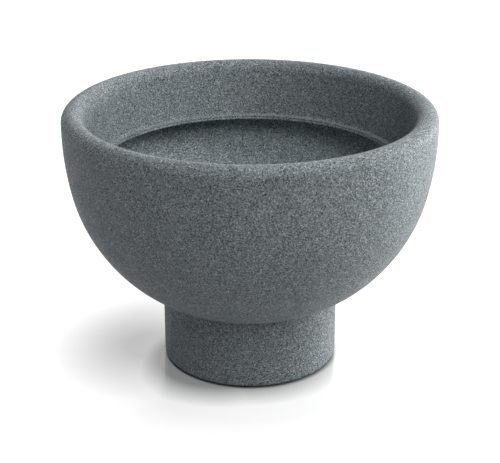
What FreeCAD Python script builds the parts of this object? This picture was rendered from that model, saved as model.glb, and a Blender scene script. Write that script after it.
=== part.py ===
import FreeCAD, Part
import math
import os

# Granite-effect bowl planter on a drum foot, in millimetres.
# Origin on the floor below the middle of the bowl, +Z up along the axis of the mouldings.

# Overall form
bowl_diameter = 800.0
overall_height = 576.0
wall = 8.0
edge_break = 1.2

# Bowl outline: a plumb band under the rim, a flat shoulder sweep, then one arc down to the foot
rim_band = 40.0
shoulder_radius = 620.0
shoulder_share = 0.355
floor_corner_radius = 18.0

# Rolled rim, drafted collar and the ledge that is left where the mouth was trimmed out
rim_outer_radius = 22.0
rim_inner_radius = 26.0
collar_depth = 123.0
collar_draft = 10.0
ledge_width = 12.0
ledge_corner_radius = 4.0

# Drum foot, open underneath with an inward flange
foot_diameter = 386.0
foot_share = 0.2639
foot_edge_radius = 8.0
foot_flange_width = 44.0

# Drain well in the bowl floor, which nests in the foot deck and centres the two mouldings
well_diameter = 140.0
well_depth = 12.0
well_draft = 25.0
well_corner_radius = 5.0
well_clearance = 0.5

# Drain bush, its gasket and locknut, and the push-in plug
drain_hole_diameter = 42.0
drain_hole_clearance = 0.5
drain_mouth_diameter = 32.0
drain_taper = 3.0
drain_flange_width = 11.0
drain_flange_thickness = 3.0
drain_gasket_thickness = 2.0
drain_tail = 8.0
drain_chamfer = 1.0
strainer_bar_width = 3.0
strainer_bar_height = 4.0
locknut_height = 10.0
locknut_rim = 7.0
plug_depth = 18.0
plug_clearance = 0.3
plug_flange_width = 6.0
plug_flange_thickness = 3.0
plug_nose_chamfer = 2.0
grip_width = 26.0
grip_thickness = 8.0
grip_height = 17.0
grip_waist = 3.0
grip_rounding = 1.5

# Bolts that hold the bowl on the foot
bolt_count = 4
bolt_diameter = 10.0
bolt_across_flats = 16.0
bolt_head_height = 6.4
bolt_end = 3.0
bolt_end_chamfer = 1.0
bolt_hole_clearance = 0.5
nut_height = 10.0
thread_clearance = 0.2
washer_diameter = 30.0
washer_thickness = 2.0
seal_thickness = 2.0
hex_chamfer = 25.0

# Push-in rubber pads under the foot
pad_count = 4
pad_diameter = 36.0
pad_thickness = 3.0
pad_edge_radius = 1.0
pad_stem_diameter = 12.0
pad_hole_clearance = 0.3
pad_head_diameter = 17.0
pad_head_height = 9.0
pad_tip_diameter = 8.0

# Heights and radii that the pieces share
bowl_radius = bowl_diameter / 2
foot_radius = foot_diameter / 2
foot_bottom = pad_thickness
foot_height = overall_height * foot_share
joint_height = foot_bottom + foot_height
floor_top = joint_height + wall
deck_under = joint_height - wall
well_under = joint_height - well_depth
well_top = well_under + wall
well_deck_under = well_under - well_clearance - wall
ledge_height = overall_height - collar_depth
flange_opening_radius = foot_radius - foot_flange_width
drain_hole_radius = drain_hole_diameter / 2
drain_bush_top = well_top + drain_gasket_thickness + drain_flange_thickness
drain_flange_radius = drain_hole_radius + drain_flange_width
bolt_circle_radius = (well_diameter / 2 + foot_radius - wall) / 2
bolt_hole_radius = bolt_diameter / 2 + bolt_hole_clearance
pad_circle_radius = (flange_opening_radius + foot_radius - wall) / 2
pad_hole_radius = pad_stem_diameter / 2 + pad_hole_clearance

UP = FreeCAD.Vector(0, 0, 1)
CENTRE = FreeCAD.Vector(0, 0, 0)


# Profile helpers, in the plane through the axis: r outwards, z up
def at(r, z):
    return FreeCAD.Vector(r, 0, z)


def on_circle(centre, radius, degrees):
    angle = math.radians(degrees)
    return centre + at(radius * math.cos(angle), radius * math.sin(angle))


def arc(centre, radius, start_degrees, end_degrees):
    middle_degrees = (start_degrees + end_degrees) / 2
    points = [on_circle(centre, radius, d) for d in (start_degrees, middle_degrees, end_degrees)]
    return Part.Arc(*points).toShape()


def rounded_run(corners):
    """Straight runs through (r, z, radius) corners, each corner rounded by its radius."""
    points = [at(r, z) for r, z, radius in corners]
    edges = []
    start = points[0]
    for before, corner, after, (r, z, radius) in zip(points, points[1:], points[2:], corners[1:]):
        back = (before - corner).normalize()
        ahead = (after - corner).normalize()
        half_turn = back.getAngle(ahead) / 2
        trim = radius / math.tan(half_turn)
        centre = corner + (back + ahead).normalize() * (radius / math.sin(half_turn))
        enter = corner + back * trim
        leave = corner + ahead * trim
        middle = centre + (corner - centre).normalize() * radius
        edges.append(Part.LineSegment(start, enter).toShape())
        edges.append(Part.Arc(enter, middle, leave).toShape())
        start = leave
    edges.append(Part.LineSegment(start, points[-1]).toShape())
    return edges


def turned(points):
    """Solid of revolution of a closed outline of straight runs."""
    outline = [at(r, z) for r, z in points]
    return Part.Face(Part.makePolygon(outline + outline[:1])).revolve(CENTRE, UP, 360)


def moulded_shell(skin_edges):
    """Even wall to the left of a mould-side outline that runs upwards, turned about the axis."""
    section = Part.Wire(skin_edges).makeOffset2D(wall, fill=True, openResult=True)
    return section.revolve(CENTRE, UP, 360)


def round_bar(radius, low, high):
    return Part.makeCylinder(radius, high - low, at(0, low))


def ring(outer_radius, inner_radius, low, high):
    return round_bar(outer_radius, low, high).cut(round_bar(inner_radius, low, high))


def hexagon(across_flats, low, high, chamfered_ends):
    """Upright hexagon bar whose corners are turned off at the named ends."""
    corner_radius = across_flats / math.sqrt(3)
    corners = [on_plan(corner_radius, 60 * step) for step in range(7)]
    bar = Part.Face(Part.makePolygon(corners)).extrude(UP * (high - low))
    bar.translate(UP * low)
    flat_radius = across_flats / 2
    drop = (corner_radius - flat_radius) * math.tan(math.radians(hex_chamfer))
    low_radius = flat_radius if "low" in chamfered_ends else corner_radius
    high_radius = flat_radius if "high" in chamfered_ends else corner_radius
    envelope = turned([
        (0, low),
        (low_radius, low),
        (corner_radius, low + drop),
        (corner_radius, high - drop),
        (high_radius, high),
        (0, high),
    ])
    return bar.common(envelope)


# Pattern helpers, in plan
def on_plan(radius, degrees):
    angle = math.radians(degrees)
    return FreeCAD.Vector(radius * math.cos(angle), radius * math.sin(angle), 0)


def ring_of_places(count, radius, first_degrees):
    return [on_plan(radius, first_degrees + 360 * step / count) for step in range(count)]


def copies(shape, places):
    return [shape.translated(place) for place in places]


bolt_places = ring_of_places(bolt_count, bolt_circle_radius, 0)
pad_places = ring_of_places(pad_count, pad_circle_radius, 180 / pad_count)


# Bowl: floor with its drain well, swept wall, rolled rim, collar and ledge in one even shell
def bowl_skin():
    well_slope = well_depth * math.tan(math.radians(well_draft))
    shoulder_centre = at(bowl_radius - shoulder_radius, overall_height - rim_band)
    shoulder_drop = shoulder_share * (shoulder_centre.z - joint_height)
    shoulder_angle = math.degrees(math.asin(shoulder_drop / shoulder_radius))
    shoulder_end = on_circle(shoulder_centre, shoulder_radius, -shoulder_angle)
    outward = (shoulder_end - shoulder_centre).normalize()
    chord = shoulder_end - at(foot_radius, joint_height)
    sweep_radius = chord.dot(chord) / (2 * outward.dot(chord))
    sweep_centre = shoulder_end - outward * sweep_radius
    break_height = joint_height + edge_break
    break_reach = math.sqrt((sweep_radius - edge_break) ** 2 - (break_height - sweep_centre.z) ** 2)
    break_centre = at(sweep_centre.x + break_reach, break_height)
    break_angle = math.degrees(math.atan2(break_height - sweep_centre.z, break_reach))

    rim_axis = bowl_radius - rim_outer_radius
    rim_outer_centre = at(rim_axis, overall_height - rim_outer_radius)
    rim_inner_centre = at(rim_axis, overall_height - rim_inner_radius)
    collar_start = on_circle(rim_inner_centre, rim_inner_radius, 180 - collar_draft)
    collar_fall = collar_start.z - ledge_height
    ledge_outer_radius = collar_start.x - collar_fall * math.tan(math.radians(collar_draft))

    floor_run = rounded_run([
        (drain_hole_radius, well_under, 0),
        (well_diameter / 2 - well_slope, well_under, well_corner_radius),
        (well_diameter / 2, joint_height, well_corner_radius),
        (break_centre.x, joint_height, 0),
    ])
    wall_run = [
        arc(break_centre, edge_break, -90, break_angle),
        arc(sweep_centre, sweep_radius, break_angle, -shoulder_angle),
        arc(shoulder_centre, shoulder_radius, -shoulder_angle, 0),
        Part.LineSegment(
            at(bowl_radius, shoulder_centre.z), at(bowl_radius, rim_outer_centre.z)
        ).toShape(),
    ]
    rim_run = [
        arc(rim_outer_centre, rim_outer_radius, 0, 90),
        arc(rim_inner_centre, rim_inner_radius, 90, 180 - collar_draft),
    ]
    collar_run = rounded_run([
        (collar_start.x, collar_start.z, 0),
        (ledge_outer_radius, ledge_height, ledge_corner_radius),
        (ledge_outer_radius - ledge_width, ledge_height, 0),
    ])
    return floor_run + wall_run + rim_run + collar_run


def inner_floor_corner(shell):
    """The circle where the inside of the wall meets the inside of the floor."""
    level = [e for e in shell.Edges if abs(e.BoundBox.ZMax - floor_top) < 1e-4 and e.BoundBox.ZLength < 1e-4]
    return max(level, key=lambda edge: edge.BoundBox.XMax)


def bowl_shell():
    shell = moulded_shell(bowl_skin())
    shell = shell.makeFillet(floor_corner_radius, [inner_floor_corner(shell)])
    holes = copies(round_bar(bolt_hole_radius, joint_height, floor_top), bolt_places)
    return shell.cut(holes)


# Foot: deck with the matching well, drum wall, rounded foot edge and inward flange
def pedestal_foot():
    seat_radius = well_diameter / 2 + well_clearance
    seat_floor = well_under - well_clearance
    seat_slope = (joint_height - seat_floor) * math.tan(math.radians(well_draft))
    skin = rounded_run([
        (flange_opening_radius, foot_bottom, 0),
        (foot_radius, foot_bottom, foot_edge_radius),
        (foot_radius, joint_height, edge_break),
        (seat_radius, joint_height, well_corner_radius),
        (seat_radius - seat_slope, seat_floor, well_corner_radius),
        (drain_hole_radius, seat_floor, 0),
    ])
    shell = moulded_shell(skin)
    bolt_holes = copies(round_bar(bolt_hole_radius, deck_under, joint_height), bolt_places)
    pad_holes = copies(round_bar(pad_hole_radius, foot_bottom, foot_bottom + wall), pad_places)
    return shell.cut(bolt_holes + pad_holes)


# Fasteners: each kind is one group of separate solids round the bolt circle
seal_top = floor_top + seal_thickness
head_seat = seal_top + washer_thickness
nut_seat = deck_under - washer_thickness


def mounting_bolts():
    radius = bolt_diameter / 2
    end = nut_seat - nut_height - bolt_end
    shank = turned([
        (0, end),
        (radius - bolt_end_chamfer, end),
        (radius, end + bolt_end_chamfer),
        (radius, head_seat),
        (0, head_seat),
    ])
    head = hexagon(bolt_across_flats, head_seat, head_seat + bolt_head_height, ["high"])
    return Part.makeCompound(copies(shank.fuse(head).removeSplitter(), bolt_places))


def bolt_washers():
    upper = ring(washer_diameter / 2, bolt_hole_radius, seal_top, head_seat)
    lower = ring(washer_diameter / 2, bolt_hole_radius, nut_seat, deck_under)
    return Part.makeCompound(copies(upper, bolt_places) + copies(lower, bolt_places))


def sealing_washers():
    washer = ring(washer_diameter / 2, bolt_diameter / 2 + thread_clearance, floor_top, seal_top)
    return Part.makeCompound(copies(washer, bolt_places))


def lock_nuts():
    bore = round_bar(bolt_diameter / 2 + thread_clearance, nut_seat - nut_height, nut_seat)
    nut = hexagon(bolt_across_flats, nut_seat - nut_height, nut_seat, ["low", "high"]).cut(bore)
    return Part.makeCompound(copies(nut, bolt_places))


# Drain: a flanged bush through both floors, clamped by a locknut under the deck
locknut_low = well_deck_under - locknut_height
bush_end = locknut_low - drain_tail
bush_radius = drain_hole_radius - drain_hole_clearance


def drain_radius_at(height):
    fall = drain_bush_top - height
    return drain_mouth_diameter / 2 - fall * math.tan(math.radians(drain_taper))


def drain_bush():
    bore_end = drain_radius_at(bush_end)
    tube = turned([
        (bore_end, bush_end),
        (bush_radius - drain_chamfer, bush_end),
        (bush_radius, bush_end + drain_chamfer),
        (bush_radius, drain_bush_top - drain_flange_thickness),
        (drain_flange_radius, drain_bush_top - drain_flange_thickness),
        (drain_flange_radius, drain_bush_top - drain_chamfer),
        (drain_flange_radius - drain_chamfer, drain_bush_top),
        (drain_mouth_diameter / 2, drain_bush_top),
    ])
    bar_length = bore_end + bush_radius
    bar = Part.makeBox(bar_length, strainer_bar_width, strainer_bar_height)
    bar.translate(FreeCAD.Vector(-bar_length / 2, -strainer_bar_width / 2, bush_end))
    bars = [bar, bar.rotated(CENTRE, UP, 90)]
    return tube.fuse(bars).removeSplitter()


def drain_gasket():
    return ring(drain_flange_radius, bush_radius, well_top, well_top + drain_gasket_thickness)


def drain_locknut():
    across_flats = 2 * (drain_hole_radius + locknut_rim)
    bore = round_bar(bush_radius + thread_clearance, locknut_low, well_deck_under)
    return hexagon(across_flats, locknut_low, well_deck_under, ["low"]).cut(bore)


def drain_plug():
    nose = drain_bush_top - plug_depth
    nose_radius = drain_radius_at(nose) - plug_clearance
    neck_radius = drain_mouth_diameter / 2 - plug_clearance
    flange_radius = drain_mouth_diameter / 2 + plug_flange_width
    flange_top = drain_bush_top + plug_flange_thickness
    stopper = turned([
        (0, nose),
        (nose_radius - plug_nose_chamfer, nose),
        (nose_radius, nose + plug_nose_chamfer),
        (neck_radius, drain_bush_top),
        (flange_radius, drain_bush_top),
        (flange_radius, flange_top - drain_chamfer),
        (flange_radius - drain_chamfer, flange_top),
        (0, flange_top),
    ])
    return stopper.fuse(plug_grip(flange_top)).removeSplitter()


def plug_grip(base):
    """Upright finger tab, drawn in at both sides below its rounded top."""
    half = grip_width / 2
    top = base + grip_height
    waist = base + grip_height / 2
    left_side = Part.Arc(at(-half, base), at(grip_waist - half, waist), at(-half, top)).toShape()
    right_side = Part.Arc(at(half, top), at(half - grip_waist, waist), at(half, base)).toShape()
    crown = Part.LineSegment(at(-half, top), at(half, top)).toShape()
    root = Part.LineSegment(at(half, base), at(-half, base)).toShape()
    outline = Part.Face(Part.Wire([left_side, crown, right_side, root]))
    outline.translate(FreeCAD.Vector(0, -grip_thickness / 2, 0))
    tab = outline.extrude(FreeCAD.Vector(0, grip_thickness, 0))
    upper_edges = [e for e in tab.Edges if e.BoundBox.ZMin > waist]
    return tab.makeFillet(grip_rounding, upper_edges)


# Rubber pads: a disc under the flange, a stem through it and a barbed head above it
def rubber_pad():
    radius = pad_diameter / 2
    stem_radius = pad_stem_diameter / 2
    head_base = foot_bottom + wall
    head_top = head_base + pad_head_height
    return turned([
        (0, 0),
        (radius - pad_edge_radius, 0),
        (radius, pad_edge_radius),
        (radius, foot_bottom),
        (stem_radius, foot_bottom),
        (stem_radius, head_base),
        (pad_head_diameter / 2, head_base),
        (pad_tip_diameter / 2, head_top),
        (0, head_top),
    ])


pieces = {
    "bowl_shell": bowl_shell(),
    "pedestal_foot": pedestal_foot(),
    "mounting_bolts": mounting_bolts(),
    "bolt_washers": bolt_washers(),
    "sealing_washers": sealing_washers(),
    "lock_nuts": lock_nuts(),
    "drain_bush": drain_bush(),
    "drain_gasket": drain_gasket(),
    "drain_locknut": drain_locknut(),
    "drain_plug": drain_plug(),
}
for number, pad in enumerate(copies(rubber_pad(), pad_places), start=1):
    pieces[f"rubber_foot_{number}"] = pad

os.makedirs("parts", exist_ok=True)
for name, shape in pieces.items():
    shape.exportStep(f"parts/{name}.step")
    print(name, len(shape.Solids), "solids, valid", shape.isValid(), "volume", round(shape.Volume))
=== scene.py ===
import math

import bpy
from bpy.props import FloatProperty, FloatVectorProperty, IntProperty, PointerProperty
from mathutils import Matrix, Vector


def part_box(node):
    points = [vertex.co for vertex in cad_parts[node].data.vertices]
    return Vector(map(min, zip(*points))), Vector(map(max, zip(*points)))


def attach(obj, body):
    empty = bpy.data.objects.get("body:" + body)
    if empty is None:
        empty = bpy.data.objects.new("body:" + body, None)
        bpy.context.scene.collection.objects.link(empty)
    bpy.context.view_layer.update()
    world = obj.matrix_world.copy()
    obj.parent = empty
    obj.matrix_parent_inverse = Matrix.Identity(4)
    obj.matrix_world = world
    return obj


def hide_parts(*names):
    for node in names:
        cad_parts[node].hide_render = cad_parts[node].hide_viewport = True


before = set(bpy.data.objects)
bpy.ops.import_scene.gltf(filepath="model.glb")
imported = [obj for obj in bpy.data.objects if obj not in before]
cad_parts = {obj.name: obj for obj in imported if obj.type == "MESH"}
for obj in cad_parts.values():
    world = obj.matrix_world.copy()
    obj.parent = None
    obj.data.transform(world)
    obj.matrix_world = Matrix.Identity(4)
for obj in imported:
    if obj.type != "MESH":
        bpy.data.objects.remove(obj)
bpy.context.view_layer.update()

bl_info = {
    "name": "Granite Bowl Flower Pot",
    "version": (1, 0, 0),
    "blender": (4, 5, 0),
    "location": "View3D > Sidebar > Flower Pot",
    "description": "Models a speckled bowl flower pot on a drum foot over its packed frame",
    "category": "Object",
}

# Corners of the packed pieces, which give the sizes below their defaults
bowl_low, bowl_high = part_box("bowl_shell")
foot_low, foot_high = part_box("pedestal_foot")
bolts_low, bolts_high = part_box("mounting_bolts")
washers_low, washers_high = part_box("bolt_washers")
seals_low, seals_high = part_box("sealing_washers")
nuts_low, nuts_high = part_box("lock_nuts")
bush_low, bush_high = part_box("drain_bush")
gasket_low, gasket_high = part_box("drain_gasket")
ring_nut_low, ring_nut_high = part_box("drain_locknut")
plug_low, plug_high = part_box("drain_plug")
pad_low, pad_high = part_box("rubber_foot_1")

PLANTER = "planter"
PLUG = "drain_plug"
UP = (0, 0, 1)
CENTRE = (0, 0, 0)
WHITE = (1, 1, 1, 1)
RIGHT_ANGLE = math.radians(90)
HALF_TURN = math.radians(180)

# Facets of the arcs
CORNER_STEPS = 5
HEEL_STEPS = 4
SWEEP_STEPS = 44
SHOULDER_STEPS = 12
ROLL_STEPS = 14
ROLL_BACK_STEPS = 10
FLOOR_CORNER_STEPS = 8
TAB_STEPS = 12
DISH_STEPS = 64
DRILL_SIDES = 48
HEX_SIDES = 6

# Limits of the modelling steps
MERGE_DISTANCE = 1e-6
SMOOTH_ANGLE = math.radians(35)
BEVEL_ANGLE = math.radians(50)
GUARD_REACH = 1.5
SEED_SIZE = 0.01
LEVEL_FACE = 0.001

# Proportions of the small pieces
HEX_WIDTH = 0.016
HEX_TURN = math.radians(30)
HEX_CLEARANCE = 1.1
THREAD_CLEARANCE = 1.2
FLANK_SHARE = 0.42
CREST_SHARE = 0.08
LEAD_TURNS = 2
SPARE_TURNS = 3
SQUEEZE_SHARE = 0.45
NUT_COLLAR_SHARE = 0.45
NUT_LIP_INSET = 1.5
GROOVE_STARTS = (0.30, 0.58)
GROOVE_SHARE = 0.14
LAND_SHARE = 0.7

# Patterns of the finishes
FLECK_LEAST = 0.35
FLECK_SPREAD = 0.25
PATCH_SPREAD = 12.0
CLOUD_SCALE = 9.0
CLOUD_SPAN = (0.35, 0.65)
GRAIN_SPAN = (0.3, 0.7)
STEEL_DULLING = 0.72
RUBBER_BLOOM = 0.022
PLASTIC_WEAR = 0.016
FLECKS = (
    dict(tint="granite_dark", size=1.0, share=0.50, shift=0.11),
    dict(tint="granite_light", size=1.0, share=0.16, shift=0.37),
    dict(tint="granite_dark", size=0.5, share=0.46, shift=0.53),
    dict(tint="granite_light", size=0.5, share=0.16, shift=0.71),
)

# Stage: an azimuth of 0 is the camera's side and 90 is to its right
LIGHT_TARGET = (0, 0, 0.35)
SENSOR_WIDTH = 36
FLOOR_SIZE = 30
FLOOR_ROUGHNESS = 0.20
FLOOR_SPECULAR = 0.50
LOW_BOX = 0.40
FULL_BOX = 1.0
SOFTBOXES = {
    "edge": dict(
        power=440.0, azimuth=116, elevation=2.2, height=LOW_BOX,
        use="Low softbox to the right, which draws the bright edge",
    ),
    "side": dict(power=135.0, azimuth=83, elevation=30, height=FULL_BOX, use="Softbox to the right"),
    "front": dict(
        power=186.0, azimuth=14, elevation=45, height=FULL_BOX,
        use="High softbox over the camera, which reaches into the bowl",
    ),
    "upper": dict(
        power=196.0, azimuth=73, elevation=60, height=FULL_BOX,
        use="High softbox on the right, which throws the shadow to the left",
    ),
    "rear": dict(
        power=70.0, azimuth=120, elevation=45, height=FULL_BOX, use="Softbox behind and above on the right",
    ),
    "back": dict(
        power=122.0, azimuth=170, elevation=31, height=FULL_BOX,
        use="Softbox behind the pot, which lights the rim",
    ),
    "left": dict(power=25.0, azimuth=-110, elevation=2.2, height=LOW_BOX, use="Low weak softbox on the left"),
}
SHADES = {
    "front_shade": dict(place=(0.0, -0.04, 0.0), core=0.123, reach=0.226, left=0.0, where="before the foot"),
    "corner_shade": dict(
        place=(-0.065, -0.045, 0.0), core=0.142, reach=0.2285, left=0.20,
        where="at the left front of the foot",
    ),
    "left_shade": dict(place=(-0.22, 0.01, 0.0), core=0.060, reach=0.252, left=0.475, where="on the left"),
}


def length(name, description, default):
    return FloatProperty(
        name=name, description=description, default=default,
        min=0.0, precision=5, unit="LENGTH", subtype="DISTANCE",
    )


def turn(name, description, degrees):
    return FloatProperty(
        name=name, description=description, default=math.radians(degrees), unit="ROTATION", subtype="ANGLE",
    )


def share(name, description, default):
    return FloatProperty(
        name=name, description=description, default=default,
        min=0.0, max=1.0, precision=4, subtype="FACTOR",
    )


def colour(name, description, default):
    return FloatVectorProperty(
        name=name, description=description, default=default, size=3, min=0.0, max=1.0, subtype="COLOR",
    )


def count(name, description, default):
    return IntProperty(name=name, description=description, default=default, min=3)


def watts(name, description, default):
    return FloatProperty(
        name=name, description=description, default=default, min=0.0, subtype="POWER", unit="POWER",
    )


def spot(name, description, default):
    return FloatVectorProperty(
        name=name, description=description, default=default, size=3, unit="LENGTH", subtype="TRANSLATION",
    )


# Sizes and colours that a user would change
class BowlSizes(bpy.types.PropertyGroup):
    """Outline of the bowl moulding"""

    radius: length("Radius", "Outer radius at the band under the rim", bowl_high.x)
    rim_height: length("Rim height", "Height of the rim's crown over the floor", bowl_high.z)
    wall: length("Wall", "Thickness of the moulded wall, the same all over", 0.008)
    rim_band: length("Rim band", "Depth from the crown to where the wall starts to draw in", 0.040)
    shoulder_radius: length("Shoulder radius", "Radius of the flat sweep under the band", 0.620)
    shoulder_share: share("Shoulder share", "Part of the wall's height that the flat sweep takes", 0.355)
    edge_break: length("Edge break", "Rounding where the wall meets the foot", 0.0012)
    floor_corner: length("Floor corner", "Rounding inside, between wall and floor", 0.018)
    rim_outer: length("Outer rim roll", "Radius of the rim's outer roll", 0.022)
    rim_inner: length("Inner rim roll", "Radius of the rim's inner roll", 0.026)
    collar_depth: length("Collar depth", "Depth from the crown to the ledge", 0.123)
    collar_draft: turn("Collar draft", "Slope of the collar inside the rim", 10.0)
    ledge_width: length("Ledge width", "Width of the ledge left round the trimmed mouth", 0.012)
    ledge_corner: length("Ledge corner", "Rounding between collar and ledge", 0.004)
    trim_edge: length("Trim edge", "Rounding of the trimmed mouth's edges", 0.0007)
    well_radius: length("Well radius", "Radius of the drain well in the floor", 0.070)
    well_depth: length("Well depth", "Depth of the drain well", foot_high.z - bowl_low.z)
    well_draft: turn("Well draft", "Slope of the well's side", 25.0)
    well_corner: length("Well corner", "Rounding of the well's corners", 0.005)
    drain_radius: length("Drain hole", "Radius of the hole for the drain bush", 0.021)
    steps: count("Steps", "Facets round the bowl", 256)


class FootSizes(bpy.types.PropertyGroup):
    """Outline of the drum foot"""

    radius: length("Radius", "Outer radius of the drum", foot_high.x)
    top: length("Top", "Height of the joint between foot and bowl", foot_high.z)
    bottom: length("Bottom", "Height of the drum's lower edge over the floor", foot_low.z)
    edge_radius: length("Edge radius", "Rounding of the drum's lower edge", 0.008)
    flange_width: length("Flange width", "Width of the flange turned in under the drum", 0.044)
    seat_clearance: length("Seat clearance", "Play round the well where the mouldings nest", 0.0005)
    inner_corner: length("Inner corner", "Rounding of the corners inside the drum", 0.003)
    steps: count("Steps", "Facets round the drum", 192)


class FastenerSizes(bpy.types.PropertyGroup):
    """Bolts, washers and nuts that hold the bowl on the foot"""

    number: count("Bolts", "Number of bolts round the floor", 4)
    circle: length("Bolt circle", "Radius of the bolt circle", bolts_high.x - HEX_WIDTH / math.sqrt(3))
    bolt_radius: length("Bolt radius", "Radius over the thread", 0.005)
    hole_radius: length("Hole radius", "Radius of the bolt holes in floor and deck", 0.0055)
    across_flats: length("Across flats", "Width of bolt heads and nuts", HEX_WIDTH)
    head_height: length("Head height", "Height of the bolt heads", 0.0064)
    end_chamfer: length("End chamfer", "Bevel of the bolt ends", 0.001)
    pitch: length("Pitch", "Rise of the bolt thread in one turn", 0.0015)
    thread_depth: length("Thread depth", "Depth of the bolt thread", 0.0009)
    washer_radius: length("Washer radius", "Outer radius of the washers", 0.015)
    washer_thickness: length("Washer thickness", "Thickness of the steel washers", 0.002)
    corner_chamfer: turn("Corner chamfer", "Slope to which the hexagon corners are turned off", 25.0)
    insert_height: length("Insert height", "Height of the collar that holds a lock nut's ring", 0.0032)
    steps: count("Steps", "Facets round bolts and washers", 64)


class DrainSizes(bpy.types.PropertyGroup):
    """Drain bush, its gasket and locknut, and the plug"""

    mouth_radius: length("Mouth radius", "Radius of the tapered bore at the top", 0.016)
    taper: turn("Taper", "Slope of the bore", 3.0)
    tube_radius: length("Tube radius", "Radius over the bush's thread", 0.0205)
    flange_thickness: length("Flange thickness", "Thickness of the bush's flange", 0.003)
    chamfer: length("Chamfer", "Bevel of the turned edges", 0.001)
    pitch: length("Pitch", "Rise of the bush's thread in one turn", 0.003)
    thread_depth: length("Thread depth", "Depth of the bush's thread", 0.0012)
    bar_width: length("Bar width", "Width of the strainer bars", 0.003)
    bar_height: length("Bar height", "Height of the strainer bars", 0.004)
    locknut_across_flats: length("Locknut flats", "Width of the locknut across its flats", 0.056)
    thread_clearance: length("Thread clearance", "Play between bush and locknut", 0.0002)
    plug_clearance: length("Plug clearance", "Play between plug and bore", 0.0003)
    plug_flange_thickness: length("Plug flange", "Thickness of the plug's flange", 0.003)
    plug_groove: length("Plug groove", "Depth of the grooves between the plug's sealing lips", 0.0009)
    nose_chamfer: length("Nose chamfer", "Bevel of the plug's nose", 0.002)
    grip_width: length("Grip width", "Width of the finger tab", 0.026)
    grip_thickness: length("Grip thickness", "Thickness of the finger tab", 0.008)
    grip_waist: length("Grip waist", "How far the tab's sides draw in", 0.003)
    grip_rounding: length("Grip rounding", "Rounding of the tab's edges", 0.0015)
    dish_radius: length("Dish radius", "Radius of the finger dishes in the tab", 0.026)
    dish_depth: length("Dish depth", "Depth of the finger dishes", 0.0011)
    steps: count("Steps", "Facets round the drain pieces", 96)


class PadSizes(bpy.types.PropertyGroup):
    """Push-in rubber pads under the foot"""

    number: count("Pads", "Number of pads round the foot", 4)
    radius: length("Radius", "Radius of a pad's sole", 0.018)
    edge: length("Edge", "Rounding of the sole's edge", 0.001)
    stem_radius: length("Stem radius", "Radius of the stem through the flange", 0.006)
    hole_radius: length("Hole radius", "Radius of the holes in the flange", 0.0063)
    head_radius: length("Head radius", "Radius of the barbed head over its stem", 0.0085)
    tip_radius: length("Tip radius", "Radius of the head's tip", 0.004)
    groove_spacing: length("Groove spacing", "Spacing of the grip rings in the sole", 0.004)
    groove_depth: length("Groove depth", "Depth of the grip rings", 0.0007)
    steps: count("Steps", "Facets round a pad", 64)


class Finishes(bpy.types.PropertyGroup):
    """Colours of the mouldings and fittings"""

    granite_body: colour("Granite body", "Ground colour of the speckled moulding", (0.215, 0.250, 0.266))
    granite_shade: colour("Granite shade", "Darker clouding in the ground colour", (0.190, 0.222, 0.237))
    granite_dark: colour("Dark flecks", "Colour of the dark flecks", (0.028, 0.033, 0.036))
    granite_light: colour("Light flecks", "Colour of the light flecks", (0.520, 0.550, 0.565))
    fleck_size: length("Fleck size", "Spacing of the larger flecks", 0.0026)
    # The inside of the mouldings below the ledge is made paler: painted light that stands in for the light
    # reaching into the hollow.
    inside_painted_light: share("Inner pallor", "How much paler the skin is on the side away from the mould", 0.50)
    steel: colour("Steel", "Colour of the fasteners", (0.55, 0.56, 0.57))
    rubber: colour("Rubber", "Colour of pads, seals and plug", (0.020, 0.020, 0.021))
    plastic: colour("Plastic", "Colour of the drain fittings", (0.030, 0.030, 0.032))


class StageSettings(bpy.types.PropertyGroup):
    """Camera, lights and floor"""

    camera_place: spot("Camera place", "Where the camera stands", (0.0, -2.674, 1.392))
    camera_pitch: turn("Camera pitch", "How far the camera looks down", 22.456)
    lens: FloatProperty(
        name="Lens", description="Focal length for a 36 mm sensor", default=94.36, min=1.0, unit="CAMERA",
    )
    light_distance: length("Light distance", "How far the softboxes stand from the pot", 7.0)
    light_width: length("Light width", "Width of the softboxes", 3.25)
    floor_bounce: share("Floor bounce", "Share of the light that the floor throws back at the pot", 0.34)
    reflector_place: spot("Reflector place", "Middle of the pale reflector on the floor", (1.05, -0.10, 0.0))
    reflector_core: length("Reflector core", "Radius within which it throws back its full share", 0.55)
    reflector_reach: length("Reflector reach", "Radius at which it has faded into the floor", 0.95)
    reflector_bounce: share("Reflector bounce", "Share of the light that the reflector throws back", 0.95)
    ambient: share("Ambient", "Light from all round", 0.02)
    floor_shown: share("Floor shown", "How pale the floor is where it is seen", 0.25)
    # The seen floor adds less white round the pot than away from it: a painted shade round the pot that fades
    # out between near reach and far reach.
    near_shaded_white: share("Near white", "White that the seen floor adds round the pot", 0.75)
    far_white: share("Far white", "White that the seen floor adds away from the pot", 0.95)
    near_reach: length("Near reach", "How far from the foot the floor is still at its near white", 0.13)
    far_reach: length("Far reach", "How far from the foot the floor comes to its far white", 0.33)
    contact_inset: length("Contact inset", "How far under the foot its contact shade begins", 0.004)
    contact_reach: length("Contact reach", "How far beside the foot its contact shade ends", 0.016)


for box, values in SOFTBOXES.items():
    label = f"{box} light".capitalize()
    StageSettings.__annotations__.update({
        f"{box}_power": watts(label, values["use"], values["power"]),
        f"{box}_azimuth": turn(f"{label} azimuth", "Bearing from the camera's side", values["azimuth"]),
        f"{box}_elevation": turn(f"{label} elevation", "Angle at which it stands", values["elevation"]),
    })

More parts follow.
